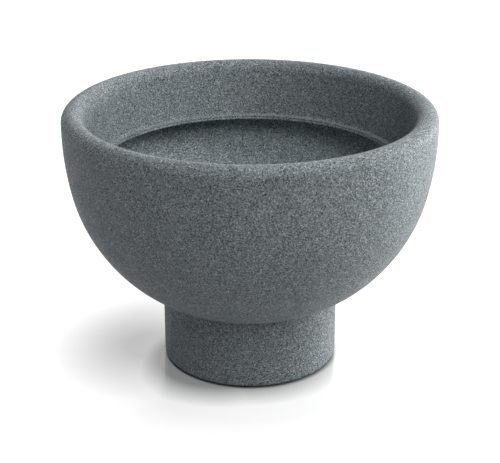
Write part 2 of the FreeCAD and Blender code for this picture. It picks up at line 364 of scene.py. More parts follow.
for patch, values in SHADES.items():
    label = patch.replace("_", " ").capitalize()
    middle = f"Middle of the soft shade {values['where']}"
    StageSettings.__annotations__.update({
        f"{patch}_place": spot(f"{label} place", middle, values["place"]),
        f"{patch}_core": length(f"{label} core", "Radius within which the shade is full", values["core"]),
        f"{patch}_reach": length(f"{label} reach", "Radius at which the shade is gone", values["reach"]),
        f"{patch}_left": share(f"{label} left", "Share of the white left where it is full", values["left"]),
    })


# Outlines in the plane through the axis, as (r, z) points
def on_circle(centre, radius, angle):
    return Vector((centre[0] + radius * math.cos(angle), centre[1] + radius * math.sin(angle)))


def arc(centre, radius, start, end, steps):
    """Points along an arc round a centre, from one angle to another."""
    return [on_circle(centre, radius, start + (end - start) * step / steps) for step in range(steps + 1)]


def rounded(corners):
    """Outline through (r, z, radius) corners, each rounded and held by a point on each side."""
    points = [Vector(corner[:2]) for corner in corners]
    outline = [points[0]]
    for before, corner, after, (_, _, radius) in zip(points, points[1:], points[2:], corners[1:]):
        if radius == 0:
            outline.append(corner)
            continue
        back = (before - corner).normalized()
        ahead = (after - corner).normalized()
        half = back.angle(ahead) / 2
        reach = radius / math.tan(half)
        centre = corner + (back + ahead).normalized() * radius / math.sin(half)
        spoke = corner + back * reach - centre
        start = math.atan2(spoke.y, spoke.x)
        side = 1 if back.cross(ahead) < 0 else -1
        sweep = side * (HALF_TURN - 2 * half)
        outline.append(corner + back * min(reach * GUARD_REACH, (reach + (before - corner).length) / 2))
        outline += arc(centre, radius, start, start + sweep, CORNER_STEPS)
        outline.append(corner + ahead * min(reach * GUARD_REACH, (reach + (after - corner).length) / 2))
    outline.append(points[-1])
    return outline


def nested_arc(centre, radius, small, level):
    """Centre and angle of a small arc that touches a level and the inside of a large arc."""
    height = level + small
    across = math.sqrt((radius - small) ** 2 - (height - centre.y) ** 2)
    return Vector((centre.x + across, height)), math.atan2(height - centre.y, across)


# Modelling steps that the pieces share
def only(piece):
    """Selects one object and makes it the active one."""
    bpy.ops.object.select_all(action="DESELECT")
    piece.select_set(True)
    bpy.context.view_layer.objects.active = piece


def new_point(name, place):
    """Starts a piece as a single point, in edit mode."""
    bpy.ops.object.select_all(action="DESELECT")
    bpy.ops.mesh.primitive_plane_add(size=SEED_SIZE, location=CENTRE)
    piece = bpy.context.object
    piece.name = name
    piece.data.name = name
    bpy.ops.object.mode_set(mode="EDIT")
    bpy.ops.mesh.select_mode(type="VERT")
    bpy.ops.mesh.select_all(action="SELECT")
    bpy.ops.mesh.merge(type="CENTER")
    bpy.ops.transform.translate(value=place)
    return piece


def draw_outline(name, outline):
    """Draws an outline of (r, z) points from point to point, and leaves it in edit mode."""
    start = outline[0]
    piece = new_point(name, (start[0], 0, start[1]))
    for here, there in zip(outline, outline[1:]):
        step = (there[0] - here[0], 0, there[1] - here[1])
        bpy.ops.mesh.extrude_vertices_move(TRANSFORM_OT_translate={"value": step})
    bpy.ops.mesh.select_all(action="SELECT")
    return piece


def merge_points():
    """Selects all of a mesh in edit mode and merges its doubled points."""
    bpy.ops.mesh.select_all(action="SELECT")
    bpy.ops.mesh.remove_doubles(threshold=MERGE_DISTANCE)


def close_up():
    """Merges the doubled points of a mesh in edit mode, turns its faces outwards and leaves edit mode."""
    merge_points()
    bpy.ops.mesh.normals_make_consistent(inside=False)
    bpy.ops.object.mode_set(mode="OBJECT")


def turned(name, outline, steps):
    """A solid turned about the axis from a closed outline, or from one that starts and ends on the axis."""
    piece = draw_outline(name, outline)
    bpy.ops.mesh.spin(steps=steps, angle=math.tau, center=CENTRE, axis=UP)
    close_up()
    return piece


def combine(piece, tool, operation):
    """Adds a tool to a piece, cuts it away or keeps what they share, and deletes the tool."""
    only(piece)
    modifier = piece.modifiers.new(operation.title(), "BOOLEAN")
    modifier.operation = operation
    modifier.solver = "EXACT"
    modifier.object = tool
    bpy.ops.object.modifier_apply(modifier=modifier.name)
    bpy.ops.object.mode_set(mode="EDIT")
    merge_points()
    bpy.ops.mesh.dissolve_degenerate(threshold=MERGE_DISTANCE)
    bpy.ops.object.mode_set(mode="OBJECT")
    only(tool)
    bpy.ops.object.delete()
    if not piece.data.polygons:
        raise RuntimeError(f"nothing is left of {piece.name}")


def place(piece, offset):
    """Moves a piece and puts its new place into its mesh."""
    only(piece)
    bpy.ops.transform.translate(value=offset)
    bpy.ops.object.transform_apply(location=True, rotation=True, scale=True)


def ring_of_places(number, radius, first):
    angles = [first + math.tau * step / number for step in range(number)]
    return [(radius * math.cos(angle), radius * math.sin(angle), 0) for angle in angles]


def copies(piece, places):
    """Puts a copy of a piece, with its own mesh, at each place, and the piece itself at the first."""
    family = [piece]
    for _ in places[1:]:
        only(piece)
        bpy.ops.object.duplicate(linked=False)
        family.append(bpy.context.object)
    base = piece.name
    for number, (member, spot) in enumerate(zip(family, places), start=1):
        member.name = f"{base}_{number}"
        member.data.name = member.name
        place(member, spot)
    return family


def drill(piece, places, radius, low, high):
    """Drills upright holes into a piece at the given places."""
    bpy.ops.object.select_all(action="DESELECT")
    tools = []
    for x, y, _ in places:
        bpy.ops.mesh.primitive_cylinder_add(
            vertices=DRILL_SIDES, radius=radius, depth=high - low, location=(x, y, (low + high) / 2)
        )
        tools.append(bpy.context.object)
    for tool in tools:
        tool.select_set(True)
    bpy.ops.object.join()
    combine(piece, bpy.context.object, "DIFFERENCE")


def bevel(piece, width, segments):
    """Rounds the sharp edges of a piece, which is the active object."""
    modifier = piece.modifiers.new("Bevel", "BEVEL")
    modifier.width = width
    modifier.segments = segments
    modifier.limit_method = "ANGLE"
    modifier.angle_limit = BEVEL_ANGLE
    bpy.ops.object.modifier_apply(modifier=modifier.name)


def hexagon(name, across_flats, low, high, chamfer, bevelled_ends, steps):
    """Upright hexagon bar whose corners are turned off at the named ends."""
    bpy.ops.object.select_all(action="DESELECT")
    corner = across_flats / math.sqrt(3)
    flat = across_flats / 2
    drop = (corner - flat) * math.tan(chamfer)
    bpy.ops.mesh.primitive_cylinder_add(
        vertices=HEX_SIDES, radius=corner, depth=high - low,
        location=(0, 0, (low + high) / 2), rotation=(0, 0, HEX_TURN),
    )
    bar = bpy.context.object
    bar.name = name
    bpy.ops.object.transform_apply(location=True, rotation=True, scale=True)
    clear = corner * HEX_CLEARANCE
    low_rim = [(flat, low), (corner, low + drop)] if "low" in bevelled_ends else [(clear, low - drop)]
    high_rim = [(corner, high - drop), (flat, high)] if "high" in bevelled_ends else [(clear, high + drop)]
    waist = [(clear, low + drop * HEX_CLEARANCE), (clear, high - drop * HEX_CLEARANCE)]
    rims = low_rim + waist + high_rim
    envelope = turned("envelope", [(0, rims[0][1]), *rims, (0, rims[-1][1])], steps)
    combine(bar, envelope, "INTERSECT")
    return bar


def threaded(name, radius, depth, pitch, low, high, chamfer, steps):
    """Rod with a screw thread, bevelled at its lower end and cut square at its upper end."""
    root = radius - depth
    rise = pitch * FLANK_SHARE
    flat = pitch * CREST_SHARE
    turns = math.ceil((high - low) / pitch) + SPARE_TURNS
    outline = []
    for number in range(turns):
        base = low + (number - LEAD_TURNS) * pitch
        crest = base + rise
        outline += [(root, base), (radius, crest), (radius, crest + flat), (root, crest + flat + rise)]
    rod = draw_outline(name, outline)
    bpy.ops.object.mode_set(mode="OBJECT")
    helix = rod.modifiers.new("Helix", "SCREW")
    helix.axis = "Z"
    helix.angle = math.tau
    helix.screw_offset = pitch
    helix.iterations = 1
    helix.steps = steps
    helix.render_steps = steps
    bpy.ops.object.modifier_apply(modifier=helix.name)
    bpy.ops.object.mode_set(mode="EDIT")
    merge_points()
    for cleared_side, level in {"clear_inner": low, "clear_outer": high}.items():
        bpy.ops.mesh.select_all(action="SELECT")
        cut = {"plane_co": (0, 0, level), "plane_no": UP, cleared_side: True}
        bpy.ops.mesh.bisect(use_fill=True, threshold=MERGE_DISTANCE, **cut)
    close_up()
    clear = radius * THREAD_CLEARANCE
    taper = clear - radius + chamfer
    envelope = turned("envelope", [
        (0, low),
        (radius - chamfer, low),
        (clear, low + taper),
        (clear, high + taper),
        (0, high + taper),
    ], steps)
    combine(rod, envelope, "INTERSECT")
    return rod


# Finishes
def feed(tree, value, socket):
    """Links a socket to another one, or sets it to a plain value."""
    if isinstance(value, bpy.types.NodeSocket):
        tree.links.new(value, socket)
    else:
        socket.default_value = value


def new_group(name, inputs, outputs):
    """Shader node group with a vector and values as its inputs and values as its outputs."""
    group = bpy.data.node_groups.new(name, "ShaderNodeTree")
    group.interface.new_socket(name="Vector", in_out="INPUT", socket_type="NodeSocketVector")
    for label, default in inputs.items():
        socket = group.interface.new_socket(name=label, in_out="INPUT", socket_type="NodeSocketFloat")
        socket.default_value = default
    for label in outputs:
        group.interface.new_socket(name=label, in_out="OUTPUT", socket_type="NodeSocketFloat")
    given = group.nodes.new("NodeGroupInput").outputs
    result = group.nodes.new("NodeGroupOutput").inputs
    return group, given, result


def math_node(tree, operation, *values):
    """Result of a Math node on sockets or numbers."""
    node = tree.nodes.new("ShaderNodeMath")
    node.operation = operation
    for socket, value in zip(node.inputs, values):
        feed(tree, value, socket)
    return node.outputs["Value"]


def vector_math(tree, operation, *values):
    """Outputs of a Vector Math node on sockets or vectors."""
    node = tree.nodes.new("ShaderNodeVectorMath")
    node.operation = operation
    for socket, value in zip(node.inputs, values):
        feed(tree, value, socket)
    return node.outputs


def map_range(tree, value, low, high, to_low, to_high):
    node = tree.nodes.new("ShaderNodeMapRange")
    feed(tree, value, node.inputs["Value"])
    feed(tree, low, node.inputs["From Min"])
    feed(tree, high, node.inputs["From Max"])
    feed(tree, to_low, node.inputs["To Min"])
    feed(tree, to_high, node.inputs["To Max"])
    return node.outputs["Result"]


def noise(tree, vector, scale, detail):
    node = tree.nodes.new("ShaderNodeTexNoise")
    feed(tree, vector, node.inputs["Vector"])
    feed(tree, scale, node.inputs["Scale"])
    feed(tree, detail, node.inputs["Detail"])
    return node.outputs["Fac"]


def mix_colour(tree, factor, first, second):
    node = tree.nodes.new("ShaderNodeMix")
    node.data_type = "RGBA"
    feed(tree, factor, node.inputs["Factor"])
    feed(tree, first, node.inputs["A"])
    feed(tree, second, node.inputs["B"])
    return node.outputs["Result"]


def fleck_scatter():
    """Flecks scattered in space: a mask of the cells that fall under a share."""
    name = "fleck_scatter"
    if name in bpy.data.node_groups:
        return bpy.data.node_groups[name]
    group, given, result = new_group(name, {"Size": 0.002, "Share": 0.2, "Shift": 0.0}, ["Mask"])
    cells = group.nodes.new("ShaderNodeTexVoronoi")
    cells.feature = "F1"
    shifted = vector_math(group, "ADD", given["Vector"], given["Shift"])["Vector"]
    feed(group, shifted, cells.inputs["Vector"])
    feed(group, math_node(group, "DIVIDE", 1.0, given["Size"]), cells.inputs["Scale"])
    parts = group.nodes.new("ShaderNodeSeparateColor")
    feed(group, cells.outputs["Color"], parts.inputs["Color"])
    chosen = math_node(group, "LESS_THAN", parts.outputs["Red"], given["Share"])
    reach = math_node(group, "MULTIPLY_ADD", parts.outputs["Green"], FLECK_SPREAD, FLECK_LEAST)
    blob = math_node(group, "LESS_THAN", cells.outputs["Distance"], reach)
    feed(group, math_node(group, "MULTIPLY", chosen, blob), result["Mask"])
    return group


def moulded_grain():
    """Fine unevenness of a moulded surface: a height for bump and a slower value for the sheen."""
    name = "moulded_grain"
    if name in bpy.data.node_groups:
        return bpy.data.node_groups[name]
    group, given, result = new_group(name, {"Size": 0.002}, ["Height", "Patches"])
    scale = math_node(group, "DIVIDE", 1.0, given["Size"])
    slow_scale = math_node(group, "DIVIDE", scale, PATCH_SPREAD)
    feed(group, noise(group, given["Vector"], scale, detail=2.0), result["Height"])
    feed(group, noise(group, given["Vector"], slow_scale, detail=1.0), result["Patches"])
    return group


def placed_group(tree, group, vector, values):
    """Outputs of a node group placed in a material with its own values."""
    node = tree.nodes.new("ShaderNodeGroup")
    node.node_tree = group
    feed(tree, vector, node.inputs["Vector"])
    for label, value in values.items():
        feed(tree, value, node.inputs[label])
    return node.outputs


def new_material(name):
    """Material with a Principled shader, and the Object coordinates that its pattern reads."""
    material = bpy.data.materials.new(name)
    material.use_nodes = True
    tree = material.node_tree
    vector = tree.nodes.new("ShaderNodeTexCoord").outputs["Object"]
    return material, tree, tree.nodes["Principled BSDF"].inputs, vector


def grain_surface(tree, shader, vector, size, sheen, roughness, strength, depth):
    """Gives a surface its uneven sheen and fine relief, and returns the grain's slow patches."""
    grain = placed_group(tree, moulded_grain(), vector, {"Size": size})
    feed(tree, map_range(tree, grain[sheen], *GRAIN_SPAN, *roughness), shader["Roughness"])
    bump = tree.nodes.new("ShaderNodeBump")
    feed(tree, strength, bump.inputs["Strength"])
    feed(tree, depth, bump.inputs["Distance"])
    feed(tree, grain["Height"], bump.inputs["Height"])
    feed(tree, bump.outputs["Normal"], shader["Normal"])
    return grain["Patches"]


def opaque(rgb):
    return (*rgb, 1.0)


def painted_light_inside_mask(tree, vector, ledge):
    """Mask of the painted light inside the bowl: below the ledge, on faces that look inwards or straight up.
    """
    across = vector_math(tree, "MULTIPLY", vector, (1, 1, 0))["Vector"]
    outward = vector_math(tree, "DOT_PRODUCT", across, vector.node.outputs["Normal"])["Value"]
    inward = math_node(tree, "LESS_THAN", outward, LEVEL_FACE)
    parts = tree.nodes.new("ShaderNodeSeparateXYZ")
    feed(tree, vector, parts.inputs["Vector"])
    below = math_node(tree, "LESS_THAN", parts.outputs["Z"], ledge)
    return math_node(tree, "MULTIPLY", inward, below)


def granite_plastic(scene):
    """Grey moulded plastic with dark and light flecks all through it, made a little paler inside by painted
    light.
    """
    name = "speckled_granite"
    if name in bpy.data.materials:
        return bpy.data.materials[name]
    finish, bowl = scene.pot_finishes, scene.pot_bowl
    material, tree, shader, vector = new_material(name)
    clouds = map_range(tree, noise(tree, vector, CLOUD_SCALE, detail=3.0), *CLOUD_SPAN, 0.0, 1.0)
    ground = mix_colour(tree, clouds, opaque(finish.granite_body), opaque(finish.granite_shade))
    for fleck in FLECKS:
        values = {"Size": finish.fleck_size * fleck["size"], "Share": fleck["share"], "Shift": fleck["shift"]}
        mask = placed_group(tree, fleck_scatter(), vector, values)["Mask"]
        ground = mix_colour(tree, mask, ground, opaque(getattr(finish, fleck["tint"])))
    # Below the ledge, faces that look inwards or up are lifted paler: painted light inside the bowl.
    ledge = bowl.rim_height - bowl.collar_depth - bowl.wall / 2
    painted_light_lift = math_node(tree, "MULTIPLY_ADD", painted_light_inside_mask(tree, vector, ledge), finish.inside_painted_light, 1.0)
    feed(tree, vector_math(tree, "MULTIPLY", ground, painted_light_lift)["Vector"], shader["Base Color"])
    grain_surface(
        tree, shader, vector,
        size=0.0022, sheen="Patches", roughness=(0.60, 0.72), strength=0.12, depth=0.0006,
    )
    shader["Specular IOR Level"].default_value = 0.3
    return material


def fitting_finish(name, tint, worn, metallic, **grain):
    """Finish of a small fitting: a tint that wears in patches, with its grain."""
    if name in bpy.data.materials:
        return bpy.data.materials[name]
    material, tree, shader, vector = new_material(name)
    patches = grain_surface(tree, shader, vector, **grain)
    feed(tree, mix_colour(tree, patches, opaque(tint), opaque(worn)), shader["Base Color"])
    shader["Metallic"].default_value = metallic
    return material


def stainless_steel(scene):
    """Bright steel with fine drawn marks and dull patches."""
    steel = scene.pot_finishes.steel
    dulled = [channel * STEEL_DULLING for channel in steel]
    return fitting_finish(
        "drawn_stainless", steel, dulled, metallic=1.0,
        size=0.0008, sheen="Patches", roughness=(0.24, 0.42), strength=0.08, depth=0.0001,
    )


def black_rubber(scene):
    """Matte rubber with a dusty bloom."""
    rubber = scene.pot_finishes.rubber
    bloom = [channel + RUBBER_BLOOM for channel in rubber]
    return fitting_finish(
        "dusty_rubber", rubber, bloom, metallic=0.0,
        size=0.0006, sheen="Patches", roughness=(0.72, 0.88), strength=0.2, depth=0.0002,
    )


def black_plastic(scene):
    """Satin moulded plastic with a fine spark texture."""
    plastic = scene.pot_finishes.plastic
    worn = [channel + PLASTIC_WEAR for channel in plastic]
    return fitting_finish(
        "satin_plastic", plastic, worn, metallic=0.0,
        size=0.0005, sheen="Height", roughness=(0.38, 0.54), strength=0.15, depth=0.0001,
    )


SLOT_FINISHES = {
    "granite_plastic": granite_plastic, "stainless_steel": stainless_steel,
    "black_rubber": black_rubber, "black_plastic": black_plastic,
}


# Pieces
def hand_over(scene, piece, slot, node, body=PLANTER):
    """Smooths a finished piece, gives it its slot's finish and sets it in the packed node's place."""
    only(piece)
    bpy.ops.object.shade_smooth_by_angle(angle=SMOOTH_ANGLE)
    piece.data.materials.clear()
    piece.data.materials.append(SLOT_FINISHES[slot](scene))
    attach(piece, body)
    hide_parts(node)


def bolt_places(scene):
    return ring_of_places(scene.pot_fasteners.number, scene.pot_fasteners.circle, 0)


def hand_over_bolted(scene, piece, slot, node):
    """Puts a copy of a piece at each bolt and hands the copies over."""
    for member in copies(piece, bolt_places(scene)):
        hand_over(scene, member, slot, node)


def pad_places(scene):
    """Middle of the flange, between the bolts."""
    foot, pads = scene.pot_foot, scene.pot_pads
    circle = (foot.radius - foot.flange_width + foot.radius - scene.pot_bowl.wall) / 2
    return ring_of_places(pads.number, circle, HALF_TURN / pads.number)


def washer(name, outer, inner, low, high, edge, steps):
    """Flat ring with rounded edges."""
    middle = (low + high) / 2
    return turned(name, rounded([
        (inner, middle, 0),
        (inner, low, edge),
        (outer, low, edge),
        (outer, high, edge),
        (inner, high, edge),
        (inner, middle, 0),
    ]), steps)


class FLOWERPOT_OT_bowl(bpy.types.Operator):
    """Mould the bowl: floor with its drain well, swept wall, rolled rim, collar, ledge and trimmed mouth"""

    bl_idname = "flower_pot.bowl"
    bl_label = "Bowl"
    bl_options = {"REGISTER", "UNDO"}

    def execute(self, context):
        scene = context.scene
        bowl, foot = scene.pot_bowl, scene.pot_foot
        piece = turned("bowl_moulding", self.outline(bowl, foot), bowl.steps)
        low, high = foot.top - bowl.wall, foot.top + 2 * bowl.wall
        drill(piece, bolt_places(scene), scene.pot_fasteners.hole_radius, low, high)
        hand_over(scene, piece, "granite_plastic", "bowl_shell")
        return {"FINISHED"}

    def outline(self, bowl, foot):
        """Closed outline of the wall: the moulded skin from the drain out and up, then the inside back."""
        wall = bowl.wall
        joint = foot.top
        floor_top = joint + wall
        well_low = joint - bowl.well_depth
        well_floor_radius = bowl.well_radius - bowl.well_depth * math.tan(bowl.well_draft)
        well_inset = wall * math.tan((RIGHT_ANGLE - bowl.well_draft) / 2)

        shoulder = Vector((bowl.radius - bowl.shoulder_radius, bowl.rim_height - bowl.rim_band))
        shoulder_turn = -math.asin(bowl.shoulder_share * (shoulder.y - joint) / bowl.shoulder_radius)
        shoulder_end = on_circle(shoulder, bowl.shoulder_radius, shoulder_turn)
        outward = (shoulder_end - shoulder).normalized()
        chord = shoulder_end - Vector((foot.radius, joint))
        sweep_radius = chord.length_squared / (2 * outward.dot(chord))
        sweep = shoulder_end - outward * sweep_radius
        heel, heel_turn = nested_arc(sweep, sweep_radius, bowl.edge_break, joint)
        corner, corner_turn = nested_arc(sweep, sweep_radius - wall, bowl.floor_corner, floor_top)

        crown = bowl.radius - bowl.rim_outer
        outer_roll = Vector((crown, bowl.rim_height - bowl.rim_outer))
        inner_roll = Vector((crown, bowl.rim_height - bowl.rim_inner))
        roll_end = HALF_TURN - bowl.collar_draft
        collar_top = on_circle(inner_roll, bowl.rim_inner, roll_end)
        collar_back = on_circle(inner_roll, bowl.rim_inner - wall, roll_end)
        ledge = bowl.rim_height - bowl.collar_depth
        ledge_radius = collar_top.x - (collar_top.y - ledge) * math.tan(bowl.collar_draft)
        ledge_back = ledge_radius + wall * math.tan((RIGHT_ANGLE - bowl.collar_draft) / 2)
        mouth = ledge_radius - bowl.ledge_width

        skin = rounded([
            (bowl.drain_radius, well_low, 0),
            (well_floor_radius, well_low, bowl.well_corner),
            (bowl.well_radius, joint, bowl.well_corner),
            (heel.x, joint, 0),
        ])
        skin += arc(heel, bowl.edge_break, -RIGHT_ANGLE, heel_turn, HEEL_STEPS)[1:]
        skin += arc(sweep, sweep_radius, heel_turn, shoulder_turn, SWEEP_STEPS)[1:]
        skin += arc(shoulder, bowl.shoulder_radius, shoulder_turn, 0, SHOULDER_STEPS)[1:]
        skin += arc(outer_roll, bowl.rim_outer, 0, RIGHT_ANGLE, ROLL_STEPS)
        skin += arc(inner_roll, bowl.rim_inner, RIGHT_ANGLE, roll_end, ROLL_STEPS)[1:]
        collar = rounded([
            (*collar_top, 0),
            (ledge_radius, ledge, bowl.ledge_corner),
            (mouth, ledge, bowl.trim_edge),
            (mouth, ledge - wall, bowl.trim_edge),
            (ledge_back, ledge - wall, bowl.ledge_corner + wall),
            (*collar_back, 0),
        ])[1:]
        inside = arc(inner_roll, bowl.rim_inner - wall, roll_end, RIGHT_ANGLE, ROLL_BACK_STEPS)[1:]
        inside += arc(outer_roll, bowl.rim_outer - wall, RIGHT_ANGLE, 0, ROLL_BACK_STEPS)[1:]
        inside += arc(shoulder, bowl.shoulder_radius - wall, 0, shoulder_turn, SHOULDER_STEPS)
        inside += arc(sweep, sweep_radius - wall, shoulder_turn, corner_turn, SWEEP_STEPS)[1:]
        inside += arc(corner, bowl.floor_corner, corner_turn, -RIGHT_ANGLE, FLOOR_CORNER_STEPS)[1:]
        floor = rounded([
            (corner.x, floor_top, 0),
            (bowl.well_radius - well_inset, floor_top, bowl.well_corner + wall),
            (well_floor_radius - well_inset, well_low + wall, bowl.well_corner / 2),
            (bowl.drain_radius, well_low + wall, 0),
            (bowl.drain_radius, well_low, 0),
        ])[1:]
        return skin + collar + inside + floor


class FLOWERPOT_OT_foot(bpy.types.Operator):
    """Mould the drum foot: deck with the well's seat, straight side, rounded edge and inward flange"""

    bl_idname = "flower_pot.foot"
    bl_label = "Foot"
    bl_options = {"REGISTER", "UNDO"}

    def execute(self, context):
        scene = context.scene
        foot, wall = scene.pot_foot, scene.pot_bowl.wall
        piece = turned("foot_moulding", self.outline(scene.pot_bowl, foot), foot.steps)
        bolt_hole, pad_hole = scene.pot_fasteners.hole_radius, scene.pot_pads.hole_radius
        drill(piece, bolt_places(scene), bolt_hole, foot.top - 2 * wall, foot.top + wall)
        drill(piece, pad_places(scene), pad_hole, foot.bottom - wall, foot.bottom + 2 * wall)
        hand_over(scene, piece, "granite_plastic", "pedestal_foot")
        return {"FINISHED"}

    def outline(self, bowl, foot):
        """Closed outline of the drum wall, from the trimmed flange round the outside and back inside."""
        wall = bowl.wall
        opening = foot.radius - foot.flange_width
        seat_radius = bowl.well_radius + foot.seat_clearance
        seat_floor = foot.top - bowl.well_depth - foot.seat_clearance
        seat_floor_radius = seat_radius - (foot.top - seat_floor) * math.tan(bowl.well_draft)
        seat_outset = wall * math.tan((RIGHT_ANGLE - bowl.well_draft) / 2)
        middle = foot.bottom + wall / 2
        return rounded([
            (opening, middle, 0),
            (opening, foot.bottom, bowl.trim_edge),
            (foot.radius, foot.bottom, foot.edge_radius),
            (foot.radius, foot.top, bowl.edge_break),
            (seat_radius, foot.top, bowl.well_corner),
            (seat_floor_radius, seat_floor, bowl.well_corner),
            (bowl.drain_radius, seat_floor, 0),
            (bowl.drain_radius, seat_floor - wall, 0),
            (seat_floor_radius + seat_outset, seat_floor - wall, bowl.well_corner + wall),
            (seat_radius + seat_outset, foot.top - wall, foot.inner_corner),
            (foot.radius - wall, foot.top - wall, foot.inner_corner),
            (foot.radius - wall, foot.bottom + wall, foot.inner_corner),
            (opening, foot.bottom + wall, bowl.trim_edge),
            (opening, middle, 0),
        ])


class FLOWERPOT_OT_bolts(bpy.types.Operator):
    """Make the hexagon bolts that go down through the bowl's floor and the foot's deck"""

    bl_idname = "flower_pot.bolts"
    bl_label = "Bolts"
    bl_options = {"REGISTER", "UNDO"}

    def execute(self, context):
        scene = context.scene
        sizes = scene.pot_fasteners
        seat = bolts_high.z - sizes.head_height
        thread_top = nuts_high.z + sizes.washer_thickness
        overlap = sizes.pitch / 2
        bolt = threaded(
            "mounting_bolt", sizes.bolt_radius, sizes.thread_depth, sizes.pitch,
            bolts_low.z, thread_top, sizes.end_chamfer, sizes.steps,
        )
        shank = turned("shank", [
            (0, thread_top - overlap),
            (sizes.bolt_radius, thread_top - overlap),
            (sizes.bolt_radius, seat + overlap),
            (0, seat + overlap),
        ], sizes.steps)
        combine(bolt, shank, "UNION")
        head = hexagon(
            "head", sizes.across_flats, seat, bolts_high.z, sizes.corner_chamfer, ("high",), 2 * sizes.steps
        )
        combine(bolt, head, "UNION")
        hand_over_bolted(scene, bolt, "stainless_steel", "mounting_bolts")
        return {"FINISHED"}


class FLOWERPOT_OT_washers(bpy.types.Operator):
    """Make the wide steel washers under the bolt heads and over the nuts"""

    bl_idname = "flower_pot.washers"
    bl_label = "Washers"
    bl_options = {"REGISTER", "UNDO"}

    def execute(self, context):
        scene = context.scene
        sizes = scene.pot_fasteners
        edge = sizes.washer_thickness / 5
        levels = {"upper_washer": washers_high.z - sizes.washer_thickness, "lower_washer": washers_low.z}
        for name, low in levels.items():
            high = low + sizes.washer_thickness
            piece = washer(name, sizes.washer_radius, sizes.hole_radius, low, high, edge, sizes.steps)
            hand_over_bolted(scene, piece, "stainless_steel", "bolt_washers")
        return {"FINISHED"}


class FLOWERPOT_OT_seals(bpy.types.Operator):
    """Make the rubber washers that keep water out of the bolt holes"""

    bl_idname = "flower_pot.seals"
    bl_label = "Sealing washers"
    bl_options = {"REGISTER", "UNDO"}

    def execute(self, context):
        scene = context.scene
        sizes = scene.pot_fasteners
        low, high = seals_low.z, seals_high.z
        inner = sizes.bolt_radius + (sizes.hole_radius - sizes.bolt_radius) / 2
        squeeze = (high - low) * SQUEEZE_SHARE
        piece = washer("sealing_washer", sizes.washer_radius, inner, low, high, squeeze, sizes.steps)
        hand_over_bolted(scene, piece, "black_rubber", "sealing_washers")
        return {"FINISHED"}


class FLOWERPOT_OT_nuts(bpy.types.Operator):
    """Make the lock nuts under the deck, each with the collar that holds its locking ring"""

    bl_idname = "flower_pot.nuts"
    bl_label = "Lock nuts"
    bl_options = {"REGISTER", "UNDO"}

    def execute(self, context):
        scene = context.scene
        sizes = scene.pot_fasteners
        low, high = nuts_low.z, nuts_high.z
        bore = sizes.bolt_radius + (sizes.hole_radius - sizes.bolt_radius) / 2
        collar_radius = sizes.across_flats * NUT_COLLAR_SHARE
        lip = sizes.insert_height / 4
        ring_radius = collar_radius - NUT_LIP_INSET * lip
        body_low = low + sizes.insert_height
        nut = hexagon(
            "lock_nut", sizes.across_flats, body_low, high,
            sizes.corner_chamfer, ("low", "high"), 2 * sizes.steps,
        )
        collar = turned("collar", rounded([
            (0, low, 0),
            (collar_radius, low, lip),
            (collar_radius, body_low + lip, 0),
            (0, body_low + lip, 0),
        ]), sizes.steps)
        combine(nut, collar, "UNION")
        drill(nut, [CENTRE], bore, low - lip, high + lip)
        drill(nut, [CENTRE], ring_radius, low - lip, low + lip)
        hand_over_bolted(scene, nut, "stainless_steel", "lock_nuts")
        ring = washer("locking_ring", ring_radius, bore, low + lip / 2, low + lip, lip / 6, sizes.steps)
        hand_over_bolted(scene, ring, "black_plastic", "lock_nuts")
        return {"FINISHED"}


class FLOWERPOT_OT_drain_bush(bpy.types.Operator):
    """Make the flanged drain bush with its tapered bore, thread and strainer cross"""

    bl_idname = "flower_pot.drain_bush"
    bl_label = "Drain bush"
    bl_options = {"REGISTER", "UNDO"}

    def execute(self, context):
        scene = context.scene
        sizes = scene.pot_drain
        low, high = bush_low.z, bush_high.z
        flange_low = high - sizes.flange_thickness
        thread_top = ring_nut_high.z
        overlap = sizes.pitch / 2
        bush = threaded(
            "drain_bush_fitting", sizes.tube_radius, sizes.thread_depth, sizes.pitch,
            low, thread_top, sizes.chamfer, sizes.steps,
        )
        body = turned("body", rounded([
            (0, thread_top - overlap, 0),
            (sizes.tube_radius, thread_top - overlap, 0),
            (sizes.tube_radius, flange_low, 0),
            (bush_high.x, flange_low, sizes.chamfer / 4),
            (bush_high.x, high, sizes.chamfer),
            (0, high, 0),
        ]), sizes.steps)
        combine(bush, body, "UNION")
        slope = math.tan(sizes.taper)
        end_radius = sizes.mouth_radius - (high - low) * slope
        bore = turned("bore", [
            (0, low - sizes.chamfer),
            (end_radius - sizes.chamfer * slope, low - sizes.chamfer),
            (sizes.mouth_radius - sizes.chamfer * slope, high - sizes.chamfer),
            (sizes.mouth_radius + sizes.chamfer, high + sizes.chamfer / 2),
            (0, high + sizes.chamfer / 2),
        ], sizes.steps)
        combine(bush, bore, "DIFFERENCE")
        combine(bush, self.strainer(sizes, low, end_radius), "UNION")
        hand_over(scene, bush, "black_plastic", "drain_bush")
        return {"FINISHED"}

    def strainer(self, sizes, low, end_radius):
        """Crossed bars with bevelled edges, which end inside the tube's wall."""
        reach = (end_radius + sizes.tube_radius - sizes.thread_depth) / 2
        bars = []
        for width, depth in ((2 * reach, sizes.bar_width), (sizes.bar_width, 2 * reach)):
            bpy.ops.object.select_all(action="DESELECT")
            bpy.ops.mesh.primitive_cube_add(size=1, location=(0, 0, low + sizes.bar_height / 2))
            bpy.ops.transform.resize(value=(width, depth, sizes.bar_height))
            bpy.ops.object.transform_apply(location=True, rotation=True, scale=True)
            bars.append(bpy.context.object)
            bevel(bars[-1], width=sizes.bar_width / 5, segments=3)
        combine(bars[0], bars[1], "UNION")
        return bars[0]


